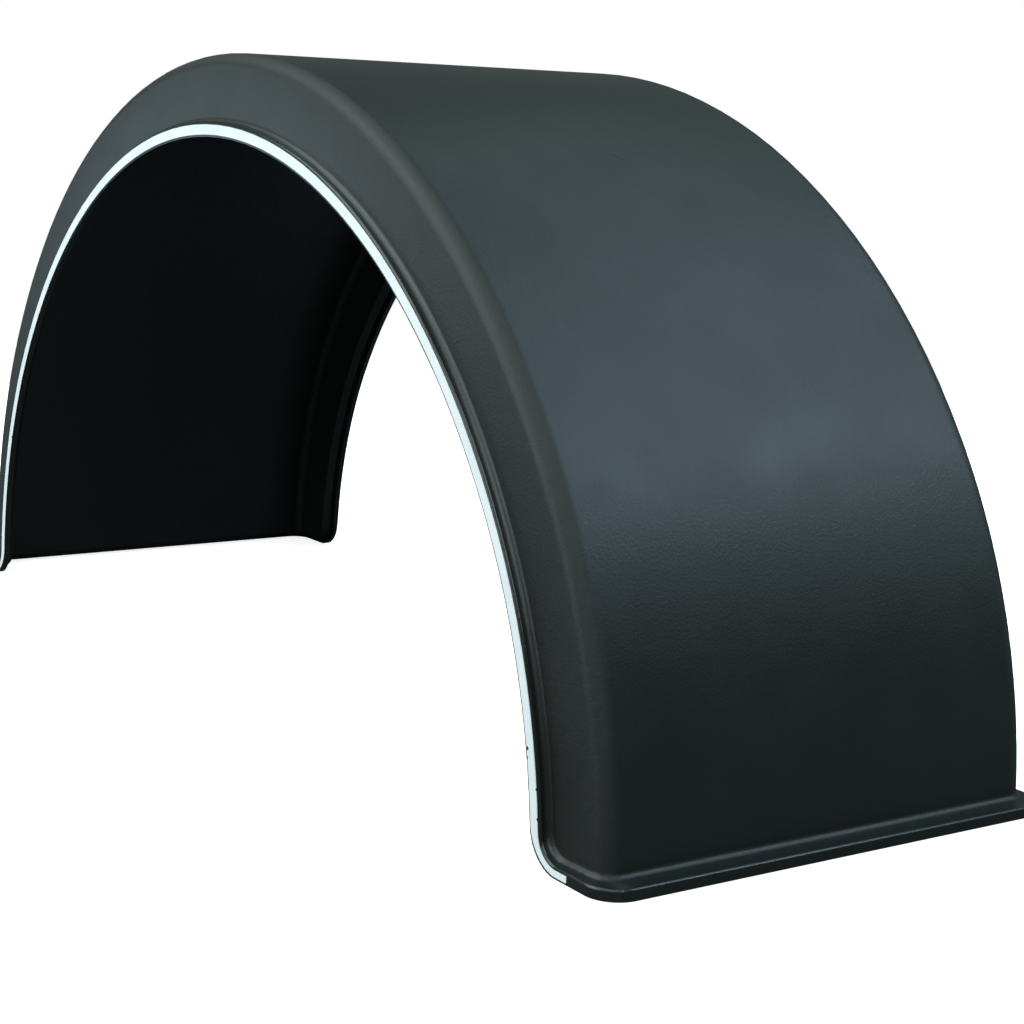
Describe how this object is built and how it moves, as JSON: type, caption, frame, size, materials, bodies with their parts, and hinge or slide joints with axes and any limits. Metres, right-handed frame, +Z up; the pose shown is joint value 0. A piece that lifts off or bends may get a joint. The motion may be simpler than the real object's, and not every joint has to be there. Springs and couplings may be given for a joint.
{
  "type": "trailer mudguard",
  "caption": "Arched black plastic mudguard for a trailer wheel: flat crown, side walls, a stepped rim round the whole mouth and a white stripe along one edge.",
  "frame": {"origin": "on the ground, in the middle of the guard, which stands on its two feet", "axes": "+X along the guard from foot to foot, +Y across it, away from the striped side, +Z up"},
  "size_m": [0.7086, 0.2403, 0.3188],
  "materials": {
    "black_moulding": "black polyethylene moulding, satin, with a fine grain",
    "white_stripe": "white vinyl strip, smooth, with a few nicks in its edges"
  },
  "bodies": {
    "root": {"mudguard_shell": "black_moulding", "edge_stripe": "white_stripe"}
  },
  "joints": []
}
